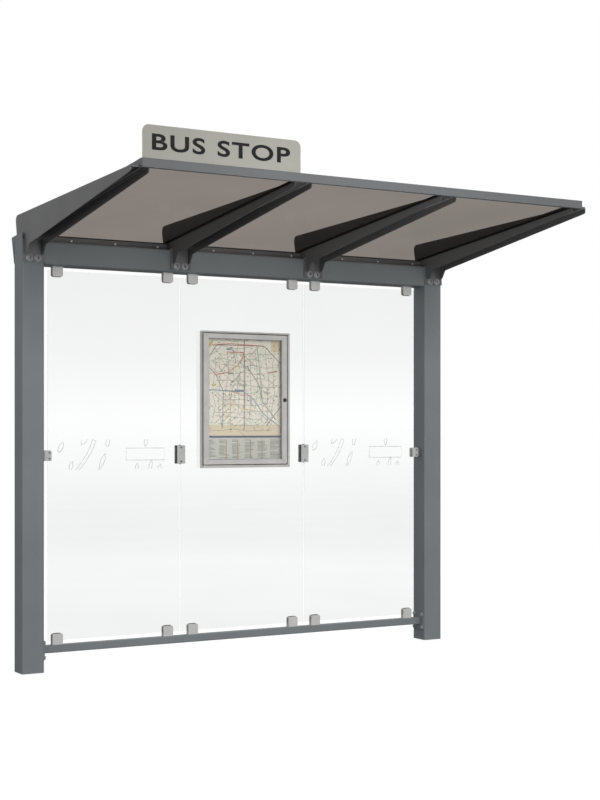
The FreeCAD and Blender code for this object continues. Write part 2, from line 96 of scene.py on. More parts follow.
class Graph:
    """A material's node tree, built by calls that name a node and its inputs."""

    def __init__(self, name):
        self.material = bpy.data.materials.new(name)
        self.material.use_nodes = True
        self.tree = self.material.node_tree
        self.tree.nodes.clear()
        self.out = self.tree.nodes.new("ShaderNodeOutputMaterial")
        self.place = self.add("TexCoord").outputs["Object"]

    def add(self, kind, inputs=None, **settings):
        node = self.tree.nodes.new("ShaderNode" + kind)
        for key, value in settings.items():
            setattr(node, key, value)
        for key, value in (inputs or {}).items():
            self.put(node.inputs[key], value)
        return node

    def put(self, socket, value):
        if isinstance(value, bpy.types.NodeSocket):
            self.tree.links.new(value, socket)
        elif isinstance(value, (tuple, list)) and socket.type == "RGBA":
            socket.default_value = tuple(value) + (1.0,) * (4 - len(value))
        else:
            socket.default_value = value

    def math(self, operation, a, b=0.0):
        return self.add("Math", {0: a, 1: b}, operation=operation).outputs[0]

    def noise(self, scale, detail=2.0, place=None):
        inputs = {"Vector": place or self.place, "Scale": scale, "Detail": detail}
        return self.add("TexNoise", inputs).outputs["Fac"]

    def ramp(self, value, stops):
        """Colour ramp: stops are (position, colour)."""
        node = self.add("ValToRGB", {0: value})
        fill_ramp(node, stops)
        return node.outputs["Color"]

    def shades(self, value, colour, darker, lighter):
        """The colour, varied between two strengths as the value runs over a noise's usual range."""
        dark, light = [c * darker for c in colour], [c * lighter for c in colour]
        return self.ramp(value, [(NOISE_LOW, dark), (NOISE_HIGH, light)])

    def vary(self, value, low, high):
        """A number that runs from low to high over a noise's usual range."""
        return self.span(value, NOISE_LOW, NOISE_HIGH, low, high)

    def span(self, value, low, high, to_low, to_high):
        inputs = {0: value, 1: low, 2: high, 3: to_low, 4: to_high}
        return self.add("MapRange", inputs).outputs[0]

    def mix(self, share, a, b, blend_type="MIX"):
        node = self.add("Mix", {0: share, 6: a, 7: b}, data_type="RGBA", blend_type=blend_type)
        return node.outputs[2]

    def stretched(self, x, y, z):
        """Object coordinates scaled along each axis."""
        return self.add("Mapping", {"Vector": self.place, "Scale": (x, y, z)}).outputs[0]

    def bump(self, height, distance, strength=1.0, edge=0.0):
        """Bump over rounded edges of that radius."""
        inputs = {"Height": height, "Distance": distance, "Strength": strength}
        if edge:
            inputs["Normal"] = self.add("Bevel", {"Radius": edge}, samples=4).outputs[0]
        return self.add("Bump", inputs).outputs[0]

    def principled(self, **inputs):
        names = {key.replace("_", " "): value for key, value in inputs.items()}
        return self.add("BsdfPrincipled", names).outputs[0]

    def finish(self, shader):
        self.put(self.out.inputs["Surface"], shader)
        return self.material


# ---- Materials ----------------------------------------------------------------------

def paint(name, colour, roughness=0.42, edge=0.0016):
    """Powder coat: fine orange peel, slight clouding, rounded edges."""
    g = Graph(name)
    cloud = g.noise(2.3, 3.0)
    fine = g.noise(900.0, 2.0)
    shade = g.shades(cloud, colour, 0.93, 1.07)
    speck = g.span(fine, 0.35, 0.65, 0.96, 1.04)
    specks = g.add("CombineColor", {0: speck, 1: speck, 2: speck}).outputs[0]
    return g.finish(g.principled(
        Base_Color=g.mix(1.0, shade, specks, "MULTIPLY"),
        Roughness=g.vary(g.noise(7.0, 4.0), roughness - 0.05, roughness + 0.05),
        Normal=g.bump(fine, 0.00012, 0.5, edge),
    ))


ALONG_Z = (1.0, 1.0, 60.0)
ALONG_Z_FINE = (1.0, 1.0, 30.0)
ROUND_Y = (30.0, 1.0, 30.0)


def metal(name, colour, roughness, metallic, brush=ALONG_Z, painted_flank=None):
    """Bare metal with a fine directional grain, and an optional flank tone painted onto its
    left-hand sides: painted shade where it is darker, painted light where it is lighter.
    """
    g = Graph(name)
    grain = g.noise(60.0, 3.0, g.stretched(*brush))
    cloud = g.noise(14.0, 3.0)
    shade = g.shades(cloud, colour, 0.92, 1.06)
    # Faces that look left take the flank tone: light and shade painted by which way a face looks
    if painted_flank:
        normal = g.add("NewGeometry").outputs["Normal"]
        across = g.add("SeparateXYZ", {0: normal}).outputs["X"]
        painted_flank_share = g.span(across, -0.9, -0.6, 1.0, 0.0)
        shade = g.mix(painted_flank_share, shade, g.shades(cloud, painted_flank, 0.94, 1.0))
    return g.finish(g.principled(
        Base_Color=shade,
        Metallic=metallic,
        Roughness=g.vary(grain, roughness - 0.06, roughness + 0.06),
        Normal=g.bump(grain, 0.00008, 0.5, 0.0012),
    ))


ACROSS_Y, ACROSS_Z = 1, 2            # the axis that a sheet's faces look along
GLASS_IOR = 1.5


def clear_sheet(name, tint, edge_colour, facing, gloss=0.02, most=1.0, smudge=0.0, edge_cover=0.6):
    """Clear sheet: see-through faces with a sheen on the near one, and denser cut edges.

    gloss is the sheen's roughness and most its largest share; smudge darkens the tint in clouds.
    """
    g = Graph(name)
    geometry = g.add("NewGeometry")
    directions = g.add("SeparateXYZ", {0: geometry.outputs["Normal"]}).outputs
    cut = g.math("LESS_THAN", g.math("ABSOLUTE", directions[facing]), 0.7)
    cloud = g.vary(g.noise(1.6, 3.0), 0.0, 1.0)
    veil = g.mix(cloud, tint, [c * (1 - smudge) for c in tint])
    through = g.add("BsdfTransparent", {0: veil}).outputs[0]
    mirror = g.add("BsdfGlossy", {"Color": (1.0, 1.0, 1.0), "Roughness": gloss}).outputs[0]
    sheen = g.math("MINIMUM", g.add("Fresnel", {"IOR": GLASS_IOR}).outputs[0], most)
    near_face = g.math("SUBTRACT", 1.0, geometry.outputs["Backfacing"])
    share = g.math("MULTIPLY", sheen, near_face)
    faces = g.add("MixShader", {0: share, 1: through, 2: mirror}).outputs[0]
    edge = g.principled(Base_Color=edge_colour, Roughness=0.25, Alpha=edge_cover)
    return g.finish(g.add("MixShader", {0: cut, 1: faces, 2: edge}).outputs[0])


def etched(name, colour, cover):
    """Frosted line on glass: a fine white grain that lets some light through."""
    g = Graph(name)
    grain = g.noise(1400.0, 2.0)
    return g.finish(g.principled(
        Base_Color=g.shades(grain, colour, 0.94, 1.05),
        Roughness=g.vary(grain, 0.55, 0.75),
        Alpha=cover,
        Normal=g.bump(grain, 0.00005, 0.4),
    ))


def rubber(name, colour, roughness=0.6):
    """Moulded rubber or plastic with a soft grain."""
    g = Graph(name)
    grain = g.noise(420.0, 3.0)
    return g.finish(g.principled(
        Base_Color=g.shades(g.noise(30.0, 3.0), colour, 0.8, 1.25),
        Roughness=g.vary(grain, roughness - 0.08, roughness + 0.08),
        Normal=g.bump(grain, 0.0002, 0.5),
    ))


def enamel(name, colour, roughness=0.35):
    """Smooth painted or printed sheet with a faint mottle."""
    g = Graph(name)
    fine = g.noise(700.0, 2.0)
    return g.finish(g.principled(
        Base_Color=g.shades(g.noise(5.0, 4.0), colour, 0.96, 1.04),
        Roughness=g.vary(g.noise(9.0, 3.0), roughness - 0.04, roughness + 0.06),
        Normal=g.bump(fine, 0.00005, 0.4, 0.0008),
    ))


def map_paper(name, roughness):
    """Map ground: small blocks in pale greens, creams and pinks."""
    g = Graph(name)
    cells = g.add("TexVoronoi", {"Vector": g.place, "Scale": 70.0}).outputs["Color"]
    pick = g.add("SeparateColor", {0: cells}).outputs[0]
    stops = [
        (0.0, (0.66, 0.67, 0.55)),
        (0.3, (0.92, 0.86, 0.76)),
        (0.6, (0.85, 0.80, 0.69)),
        (0.8, (0.92, 0.74, 0.68)),
        (1.0, (0.70, 0.80, 0.69)),
    ]
    blocks = g.ramp(pick, stops)
    greener, warmer = (0.76, 0.75, 0.61), (0.93, 0.85, 0.72)
    wash = g.ramp(g.noise(9.0, 4.0), [(0.35, greener), (0.65, warmer)])
    fine = g.noise(700.0, 2.0)
    return g.finish(g.principled(
        Base_Color=g.mix(0.5, blocks, wash),
        Roughness=g.vary(g.noise(9.0, 3.0), roughness - 0.04, roughness + 0.06),
        Normal=g.bump(fine, 0.00005, 0.4),
    ))


frame_paint = paint("frame_paint", (0.165, 0.182, 0.190))
# A darker copy of the frame paint for the fascia: painted shade.
shaded_fascia_paint = paint("shaded_fascia_paint", (0.128, 0.135, 0.139))
# Darker copies of the frame paint for the arms, a painted shade: the darkest, for arms 2 to 4 and
# the back strips, stands in for the shade under the roof.
arm_paint = paint("arm_paint", (0.105, 0.106, 0.106), 0.40)
shaded_end_arm_paint = paint("shaded_end_arm_paint", (0.142, 0.143, 0.144), 0.40)

# Lit and shaded copies of the clamp metal: the pale one paints light onto the top clamps, which lie
# in the roof's shadow, and the darker grey paints shade onto the joint clamps and the left side
# clamp.
CLAMP_SHADED_GREY = (0.50, 0.50, 0.495)
clamp_metal = metal("clamp_metal", (0.56, 0.555, 0.55), 0.50, 0.30)
clamp_painted_light = metal("clamp_metal_painted_light", (0.68, 0.675, 0.67), 0.50, 0.25)
clamp_painted_shade = metal("clamp_metal_painted_shade", CLAMP_SHADED_GREY, 0.52, 0.30)
# Painted shade on the joint clamps' left-hand sides.
clamp_shaded_flank = metal("clamp_metal_shaded_flank", CLAMP_SHADED_GREY, 0.52, 0.30, painted_flank=(0.10, 0.10, 0.10))
case_metal = metal("case_aluminium", (0.52, 0.515, 0.50), 0.45, 0.4, ALONG_Z_FINE)
# Painted light on the case's left-hand sides.
case_lit_flank = metal(
    "case_aluminium_lit_flank", (0.50, 0.495, 0.48), 0.45, 0.2, ALONG_Z_FINE, (0.93, 0.93, 0.92)
)
screw_zinc = metal("screw_zinc", (0.80, 0.80, 0.79), 0.45, 0.3)
bolt_metal = metal("bolt_steel", (0.36, 0.37, 0.38), 0.48, 0.35, ROUND_Y)

glass = clear_sheet(
    "glass_clear", (0.933, 0.936, 0.935), (0.86, 0.92, 0.90), ACROSS_Y, smudge=0.01, edge_cover=0.16
)
roof_sheet = clear_sheet(
    "roof_smoked", (0.512, 0.484, 0.464), (0.10, 0.09, 0.085), ACROSS_Z, 0.12, 0.05, 0.06
)
case_glass = clear_sheet(
    "case_glazing", (0.955, 0.96, 0.958), (0.5, 0.55, 0.53), ACROSS_Y, 0.03, smudge=0.01
)
etched_white = etched("etched_white", (0.60, 0.61, 0.61), 0.50)

seal_black = rubber("seal_rubber", (0.018, 0.018, 0.019))
liner_grey = rubber("liner_grey", (0.30, 0.30, 0.30))
lock_black = rubber("lock_black", (0.012, 0.012, 0.013))
cap_black = rubber("cap_black", (0.03, 0.03, 0.032), 0.5)

sign_enamel = enamel("sign_face", (0.36, 0.352, 0.315))
board_white = enamel("board_white", (0.72, 0.72, 0.70), 0.5)
letter_print = enamel("letter_print", (0.006, 0.006, 0.007), 0.75)
poster_paper = map_paper("poster_paper", 0.6)

# Finish of each material slot, and of the nodes that differ from their slot's
FINISH = {
    "frame_paint": frame_paint,
    "sign_face": sign_enamel,
    "clamp_metal": clamp_metal,
    "case_aluminium": case_metal,
    "bolt_steel": bolt_metal,
    "glass_clear": glass,
    "roof_smoked": roof_sheet,
    "seal_rubber": seal_black,
    "board_white": board_white,
    "poster_paper": poster_paper,
    "case_glazing": case_glass,
    "lock_black": lock_black,
    "cap_black": cap_black,
}
OWN_FINISH = {
    # Arms and back strips: painted shade, darkest under the roof
    "roof_arm_1": shaded_end_arm_paint,
    "roof_arm_2": arm_paint,
    "roof_arm_3": arm_paint,
    "roof_arm_4": arm_paint,
    "roof_back_strips": arm_paint,
    # Fascia: painted shade
    "roof_fascia": shaded_fascia_paint,
    "strip_screws": screw_zinc,
    # Top clamps: painted light; joint clamps and the left side clamp: painted shade
    "top_glass_clamps": clamp_painted_light,
    "joint_clamp_left": clamp_shaded_flank,
    "joint_clamp_right": clamp_shaded_flank,
    "side_clamp_left": clamp_painted_shade,
    # Case: painted light on its left-hand sides
    "notice_case": case_lit_flank,
}


def dress_nodes():
    """Gives every CAD node its finish."""
    for name, node in nodes.items():
        for slot in node.material_slots:
            key = slot.material.name.split(".")[0]
            slot.material = OWN_FINISH.get(name) or FINISH[key]


dress_nodes()


# ---- Small shapes -------------------------------------------------------------------------

def middle_of(low_corner, high_corner):
    return (low_corner + high_corner) / 2


def islands(name):
    """Boxes (low, high) of a node's separate solids, from left to right."""
    work = bmesh.new()
    work.from_mesh(nodes[name].data)
    bmesh.ops.remove_doubles(work, verts=work.verts, dist=1e-6)
    left = set(work.verts)
    boxes = []
    while left:
        front = [left.pop()]
        group = list(front)
        while front:
            for edge in front.pop().link_edges:
                for vert in edge.verts:
                    if vert in left:
                        left.remove(vert)
                        front.append(vert)
                        group.append(vert)
        low_corner = Vector([min(v.co[axis] for v in group) for axis in range(3)])
        high_corner = Vector([max(v.co[axis] for v in group) for axis in range(3)])
        boxes.append((low_corner, high_corner))
    work.free()
    return sorted(boxes, key=lambda pair: (round(pair[0].x, 3), round(pair[0].z, 3)))


def make_piece(name, build, material, body="shelter", edge=0.0):
    """Mesh piece from build(bmesh), riding on a body."""
    work = bmesh.new()
    build(work)
    bmesh.ops.recalc_face_normals(work, faces=work.faces)
    mesh = bpy.data.meshes.new(name)
    work.to_mesh(mesh)
    work.free()
    mesh.materials.append(material)
    piece = bpy.data.objects.new(name, mesh)
    scene.collection.objects.link(piece)
    if edge:
        bevel = piece.modifiers.new("edge", "BEVEL")
        bevel.width = edge
        bevel.segments = 2
        bevel.limit_method = "ANGLE"
    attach(piece, body)
    return piece


def add_prism(work, outline, offset):
    """Solid from a closed outline of points, swept by an offset."""
    first = [work.verts.new(point) for point in outline]
    last = [work.verts.new(Vector(point) + Vector(offset)) for point in outline]
    work.faces.new(first)
    work.faces.new(reversed(last))
    count = len(first)
    for index in range(count):
        after = (index + 1) % count
        work.faces.new((first[index], last[index], last[after], first[after]))


def add_box(work, low_corner, high_corner):
    """Block between two corners."""
    (x0, y0, z0), (x1, y1, z1) = low_corner, high_corner
    add_prism(work, [(x0, y0, z0), (x1, y0, z0), (x1, y0, z1), (x0, y0, z1)], (0, y1 - y0, 0))


TO_ROAD = (0, -1, 0)
TO_BACK = (0, 1, 0)


def add_ring(work, centre, axis, inner, outer, height, count=28):
    """Flat ring, or a disc where inner is 0, that stands out along the axis."""
    axis = Vector(axis)
    side = axis.orthogonal().normalized()
    other = axis.cross(side)
    base = Vector(centre)
    chamfer = height * 0.3
    section = (
        (inner, 0),
        (outer, 0),
        (outer, height - chamfer),
        (outer - chamfer, height),
        (inner, height),
    )
    loops = []
    for radius, level in section:
        spots = []
        for index in range(count):
            turn = 2 * pi * index / count
            spoke = (side * cos(turn) + other * sin(turn)) * max(radius, 1e-5)
            spots.append(work.verts.new(base + axis * level + spoke))
        loops.append(spots)
    for row, following in zip(loops, loops[1:] + loops[:1]):
        for index in range(count):
            after = (index + 1) % count
            work.faces.new((row[index], following[index], following[after], row[after]))


BEAD_PITCH = 0.004
BEAD_RIPPLE = 0.18


def add_bead(work, start, end, radius, normal):
    """Weld bead: a low half-round run whose size ripples along its length."""
    start, end = Vector(start), Vector(end)
    along = (end - start).normalized()
    up = Vector(normal).normalized()
    side = along.cross(up)
    steps = max(4, int((end - start).length / BEAD_PITCH))
    rows = []
    for step in range(steps + 1):
        wave = 1 + BEAD_RIPPLE * cos(pi * step)
        size = radius * wave * (0.5 if step in (0, steps) else 1.0)
        spot = start + (end - start) * step / steps
        rows.append([
            work.verts.new(spot + (side * cos(turn) + up * sin(turn)) * size)
            for turn in (0, pi / 4, pi / 2, 3 * pi / 4, pi)
        ])
    for row, following in zip(rows, rows[1:]):
        for index in range(len(row)):
            after = (index + 1) % len(row)
            work.faces.new((row[index], following[index], following[after], row[after]))
    work.faces.new(rows[0])
    work.faces.new(reversed(rows[-1]))


def add_stroke(work, points, width, y, thickness=0.00015):
    """Flat line in a plane facing the road, through (x, z) points."""
    left = []
    right = []
    last = len(points) - 1
    for index, (x, z) in enumerate(points):
        before = points[max(index - 1, 0)]
        after = points[min(index + 1, last)]
        run_x, run_z = after[0] - before[0], after[1] - before[1]
        length = (run_x ** 2 + run_z ** 2) ** 0.5 or 1.0
        off_x, off_z = -run_z / length * width / 2, run_x / length * width / 2
        left.append((x + off_x, z + off_z))
        right.append((x - off_x, z - off_z))
    for index in range(last):
        quad = (left[index], left[index + 1], right[index + 1], right[index])
        add_prism(work, [(x, y - thickness, z) for x, z in quad], (0, thickness, 0))


def clipped(points, low_z, high_z):
    """The runs of a line of (x, z) points that lie between two heights."""
    runs = [[]]
    for (x0, z0), (x1, z1) in zip(points, points[1:]):
        spots = [0.0, 1.0]
        for level in (low_z, high_z):
            if (z0 - level) * (z1 - level) < 0:
                spots.append((level - z0) / (z1 - z0))
        spots.sort()
        for start, end in zip(spots, spots[1:]):
            middle = z0 + (z1 - z0) * (start + end) / 2
            if low_z <= middle <= high_z:
                pair = [(x0 + (x1 - x0) * t, z0 + (z1 - z0) * t) for t in (start, end)]
                runs[-1].extend(pair if not runs[-1] else pair[1:])
            elif runs[-1]:
                runs.append([])
    return [run for run in runs if len(run) > 1]


# ---- Name sign --------------------------------------------------------------------------

SIGN_TEXT = "BUS STOP"
LETTER_RAISE = 0.0005
LETTER_HEIGHT = 0.073
LETTER_WEIGHT = 0.0022             # added to the strokes of letters 0.1 high
LETTER_SPACING = 1.12
SIGN_MARGINS = (0.046, 0.057)      # left and right of the lettering
SIGN_CORNER = 0.032
SIGN_SHEET = 0.0025
FOOT_SHEET = 0.003
CORNER_STEPS = 8


def make_sign():
    """Rounded plate with a folded foot, and raised lettering on its face."""
    sign_low, sign_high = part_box("sign_plate")
    face = sign_low.y + LETTER_RAISE
    round_left, round_right = sign_low.x + SIGN_CORNER, sign_high.x - SIGN_CORNER

    def build(work):
        outline = [(sign_low.x, sign_low.z), (sign_high.x, sign_low.z)]
        for centre_x, first_turn in ((round_right, 0.0), (round_left, 90.0)):
            for step in range(CORNER_STEPS + 1):
                turn = radians(first_turn + step * 90.0 / CORNER_STEPS)
                x = centre_x + SIGN_CORNER * cos(turn)
                outline.append((x, sign_high.z - SIGN_CORNER + SIGN_CORNER * sin(turn)))
        add_prism(work, [(x, face, z) for x, z in outline], (0, SIGN_SHEET, 0))
        foot_low = (round_left, face + SIGN_SHEET, sign_low.z)
        add_box(work, foot_low, (round_right, sign_high.y, sign_low.z + FOOT_SHEET))

    plate = make_piece("sign_panel", build, sign_enamel, edge=0.0006)
    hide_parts("sign_plate")

    curve = bpy.data.curves.new("sign_lettering", "FONT")
    curve.body = SIGN_TEXT
    curve.size = 0.1
    curve.space_character = LETTER_SPACING
    curve.offset = LETTER_WEIGHT
    curve.extrude = LETTER_RAISE / 2
    source = bpy.data.objects.new("lettering_source", curve)
    mesh = bpy.data.meshes.new_from_object(source)
    bpy.data.objects.remove(source)
    xs = [v.co.x for v in mesh.vertices]
    ys = [v.co.y for v in mesh.vertices]
    left = sign_low.x + SIGN_MARGINS[0]
    wide = (sign_high.x - SIGN_MARGINS[1] - left) / (max(xs) - min(xs))
    tall = LETTER_HEIGHT / (max(ys) - min(ys))
    base = sign_low.z + (sign_high.z - sign_low.z - LETTER_HEIGHT) / 2
    for vert in mesh.vertices:
        x, y, z = vert.co
        depth = face - LETTER_RAISE * (0.5 + z / LETTER_RAISE)
        vert.co = (left + (x - min(xs)) * wide, depth, base + (y - min(ys)) * tall)
    mesh.flip_normals()
    mesh.materials.clear()
    mesh.materials.append(letter_print)
    letters = bpy.data.objects.new("sign_lettering", mesh)
    scene.collection.objects.link(letters)
    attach(letters, "shelter")


# ---- Etched bands on the glass ------------------------------------------------------------

BAND_LOW = 1.038
BAND_HIGH = 1.196
BAND_MARGINS = (0.03, 0.09)        # from the band to the pane's left and right edges
BAND_PITCH = 0.112
BLANK_WIDTH = 0.225                # the empty frame at the band's right end
BLANK_RISE = 0.032                 # half its height
ETCH_LINE = 0.0032
INK_GAP = 0.00005                  # from a sheet's face to the print on it


def leaf(x, z, length, half_width, lean, fullness=1.0):
    """Closed leaf outline that leans to the right by lean degrees from upright."""
    points = []
    along = (sin(radians(lean)), cos(radians(lean)))
    across = (along[1], -along[0])
    steps = 14
    for side in (1, -1):
        order = range(steps + 1) if side == 1 else range(steps - 1, -1, -1)
        for step in order:
            share = step / steps
            bulge = half_width * sin(pi * share ** fullness) * side
            points.append((
                x + along[0] * length * share + across[0] * bulge,
                z + along[1] * length * share + across[1] * bulge,
            ))
    return points


def strap(x, z, length, width, lean, bend):
    """Closed outline of a strap that bends as it rises."""
    sides = ([], [])
    steps = 12
    spot = [x, z]
    for step in range(steps + 1):
        share = step / steps
        turn = radians(lean - bend * share)
        across = (cos(turn), -sin(turn))
        grown = width * (0.8 + 0.4 * share) / 2
        for side, edge in zip((1, -1), sides):
            edge.append((spot[0] + across[0] * grown * side, spot[1] + across[1] * grown * side))
        spot[0] += sin(turn) * length / steps
        spot[1] += cos(turn) * length / steps
    return sides[0] + sides[1][::-1] + sides[0][:1]


def etched_shapes(start, end):
    """Leaves and straps spread along a pane with a slow drift, then an empty frame."""
    shapes = []
    middle = (BAND_LOW + BAND_HIGH) / 2
    blank_start = end - BLANK_WIDTH
    for index in range(int((blank_start - start) / BAND_PITCH)):
        x = start + BAND_PITCH * (index + 0.25)
        drift = sin(index * 2.4)
        kind = index % 3
        if kind == 0:
            shapes.append(leaf(x, middle + 0.012 + 0.01 * drift, 0.062, 0.012, 26 + 5 * drift, 0.8))
            shapes.append(leaf(x + 0.062, BAND_LOW - 0.012, 0.058, 0.010, 14, 1.2))
        elif kind == 1:
            shapes.append(strap(x - 0.02, BAND_LOW - 0.012, 0.20, 0.017, 44 + 4 * drift, 30))
            shapes.append(leaf(x + 0.012, BAND_HIGH - 0.030, 0.07, 0.013, 38))
        else:
            shapes.append(leaf(x, BAND_LOW - 0.008, 0.100, 0.011, 20 - 4 * drift, 1.3))
            shapes.append(strap(x + 0.05, BAND_HIGH - 0.036, 0.09, 0.020, 6, -16))
    low_z, high_z = middle - BLANK_RISE, middle + BLANK_RISE
    corners = [(blank_start, low_z), (end, low_z), (end, high_z), (blank_start, high_z)]
    shapes.append(corners + corners[:1])
    for share, length in ((0.25, 0.05), (0.6, 0.07), (0.85, 0.045)):
        x = blank_start + BLANK_WIDTH * share
        shapes.append(leaf(x, BAND_LOW - 0.018, length, 0.009, 12))
    shapes.append(leaf(blank_start + BLANK_WIDTH / 2, high_z + 0.008, 0.05, 0.010, 4))
    return shapes


def make_etching():
    """The band on the outer panes."""
    for side in ("left", "right"):
        pane_low, pane_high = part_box(f"glass_panel_{side}")
        start, end = pane_low.x + BAND_MARGINS[0], pane_high.x - BAND_MARGINS[1]

        def build(work):
            for shape in etched_shapes(start, end):
                for run in clipped(shape, BAND_LOW, BAND_HIGH):
                    add_stroke(work, run, ETCH_LINE, pane_low.y - INK_GAP)

        make_piece(f"etched_band_{side}", build, etched_white)


# ---- Printed map in the case ----------------------------------------------------------------

# Shares of the sheet's height
LEGEND_TOP = 0.200
BAND_HEIGHT = 0.016
MAP_BASE = LEGEND_TOP + BAND_HEIGHT
# Widths of the lines
LANE, STREET, RING, AVENUE = 0.0017, 0.0019, 0.0042, 0.0048
# Layers of the print, from the sheet up
GROUND, LINES, ROADS, ROUTES, STOPS = range(5)
LAYER = 0.0001


def make_poster():
    """Street map with routes, a dark band and a legend, of a made-up town."""
    sheet_low, sheet_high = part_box("notice_poster")
    width = sheet_high.x - sheet_low.x
    height = sheet_high.z - sheet_low.z
    ink = sheet_low.y - INK_GAP
    draw = Random(11)

    def spot(u, v):
        """Place on the sheet: u across and v up, both from 0 to 1."""
        return (sheet_low.x + u * width, sheet_low.z + v * height)

    def on_map(u, v):
        return spot(u, MAP_BASE + v * (1 - MAP_BASE))

    def line(work, points, thickness, layer, place=on_map):
        add_stroke(work, [place(u, v) for u, v in points], thickness, ink - layer * LAYER, LAYER)

    def street(work, level, wander, low_range, high_range, upright):
        """A street that wavers about its level, across the map or upright."""
        waver = [draw.uniform(-wander, wander) for _ in range(6)]
        low_end, high_end = draw.uniform(*low_range), draw.uniform(*high_range)
        run = [low_end + (high_end - low_end) * step / 5 for step in range(6)]
        if upright:
            steps = [(level + off, along) for off, along in zip(waver, run)]
        else:
            steps = [(along, level + off) for off, along in zip(waver, run)]
        line(work, steps, STREET, LINES)

    def streets(work):
        for index in range(15):
            street(work, 0.05 + index * 0.064, 0.02, (0.02, 0.25), (0.7, 0.98), False)
        for index in range(13):
            street(work, 0.06 + index * 0.073, 0.025, (0.02, 0.3), (0.65, 0.97), True)
        for _ in range(64):
            u, v = draw.uniform(0.03, 0.8), draw.uniform(0.05, 0.85)
            lean = draw.choice((-1, 1))
            line(work, [(u, v), (u + 0.13, v + 0.1 * lean)], LANE, LINES)

    def ring_roads(work):
        ring = [(0.02, 0.72), (0.16, 0.90), (0.75, 0.90), (0.97, 0.72), (0.97, 0.30), (0.78, 0.10)]
        line(work, ring, RING, ROADS)
        line(work, [(0.02, 0.72), (0.15, 0.60), (0.24, 0.44), (0.23, 0.08)], 0.0036, ROADS)
        line(work, [(0.50, 0.97), (0.50, 0.06)], AVENUE, ROADS)
        line(work, [(0.53, 0.70), (0.68, 0.52), (0.73, 0.34), (0.90, 0.16)], RING, ROADS)

    # Lines and short labels of each route, as (width, points)
    routes = {
        "red": (
            (0.0058, [(0.14, 0.60), (0.30, 0.63), (0.42, 0.70),
                      (0.48, 0.78), (0.49, 0.83), (0.28, 0.83)]),
            (0.0046, [(0.10, 0.90), (0.34, 0.915), (0.72, 0.90)]),
            (0.0080, [(0.80, 0.63), (0.92, 0.65)]),
            (0.0036, [(0.35, 0.44), (0.47, 0.40), (0.58, 0.40)]),
        ),
        "yellow": (
            (0.0056, [(0.32, 0.45), (0.33, 0.24), (0.26, 0.16)]),
            (0.0040, [(0.32, 0.33), (0.47, 0.27), (0.62, 0.25)]),
            (0.0120, [(0.05, 0.865), (0.11, 0.94)]),
            (0.0120, [(0.10, 0.50), (0.15, 0.505)]),
        ),
        "green": (
            (0.0040, [(0.66, 0.90), (0.70, 0.62), (0.73, 0.34)]),
            (0.0080, [(0.04, 0.45), (0.10, 0.45)]),
            (0.0110, [(0.30, 0.62), (0.36, 0.62)]),
            (0.0040, [(0.36, 0.86), (0.40, 0.72)]),
        ),
        "blue": (
            (0.0050, [(0.10, 0.455), (0.36, 0.44), (0.50, 0.44),
                      (0.62, 0.36), (0.74, 0.22), (0.93, 0.10)]),
            (0.0110, [(0.38, 0.45), (0.50, 0.45)]),
            (0.0100, [(0.28, 0.86), (0.34, 0.86)]),
        ),
    }

    def route(name):
        def build(work):
            for thickness, points in routes[name]:
                line(work, points, thickness, ROUTES)
        return build

    def stops(work):
        for _ in range(150):
            u, v = draw.uniform(0.05, 0.95), draw.uniform(0.04, 0.96)
            line(work, [(u, v), (u + 0.014, v)], 0.0050, STOPS)

    def suburbs(work):
        line(work, [(0.0, 0.055), (1.0, 0.055)], height * 0.085, GROUND)
        line(work, [(0.84, 0.92), (1.0, 0.92)], height * 0.12, GROUND)

    def dark_band(work):
        middle = LEGEND_TOP + BAND_HEIGHT / 2
        line(work, [(0.0, middle), (1.0, middle)], BAND_HEIGHT * height, LINES, spot)

    def legend_ground(work):
        middle = LEGEND_TOP / 2
        line(work, [(0.0, middle), (1.0, middle)], LEGEND_TOP * height, GROUND, spot)

    def legend_rows(work):
        """Six columns of short lines, with a gap here and there."""
        columns = 6
        for column in range(columns):
            start = 0.03 + column * 0.955 / columns
            for row in range(14):
                v = LEGEND_TOP - 0.018 - row * 0.0105
                if v < 0.012 or (row + column) % 9 == 4:
                    continue
                end = start + draw.uniform(0.06, 0.125)
                line(work, [(start, v), (end, v)], 0.0032, LINES, spot)

    def legend_bars(work):
        for column in (0.275, 0.42, 0.58, 0.725):
            line(work, [(column, 0.02), (column, LEGEND_TOP - 0.015)], 0.0060, ROADS, spot)

    prints = (
        ("map_suburbs", suburbs, (0.72, 0.60, 0.40)),
        ("map_streets", streets, (0.19, 0.17, 0.11)),
        ("map_ring_roads", ring_roads, (0.13, 0.10, 0.08)),
        ("map_red_route", route("red"), (0.60, 0.19, 0.13)),
        ("map_yellow_route", route("yellow"), (0.62, 0.44, 0.08)),
        ("map_green_route", route("green"), (0.16, 0.36, 0.20)),
        ("map_blue_route", route("blue"), (0.15, 0.24, 0.36)),
        ("map_stops", stops, (0.10, 0.09, 0.07)),
        ("map_band", dark_band, (0.008, 0.012, 0.085)),
        ("legend_ground", legend_ground, (0.55, 0.55, 0.49)),
        ("legend_rows", legend_rows, (0.16, 0.16, 0.14)),
        ("legend_bars", legend_bars, (0.40, 0.23, 0.09)),
    )
    for name, build, colour in prints:
        make_piece(name, build, enamel("ink_" + name, colour, 0.55))


# ---- Case and door details ----------------------------------------------------------------

JOINT_LINE = 0.0008
LINE_SHEET = 0.0001
BEAD_WIDTH = 0.0035
BEAD_DEPTH = 0.0045
DOOR_REBATE = 0.008                # how far the frame covers the pane's edges
DOOR_ROUND = 0.008                 # the frame's rounded edge on the hinge side
TOUCH = 0.0002                     # gap that keeps two touching faces from flickering


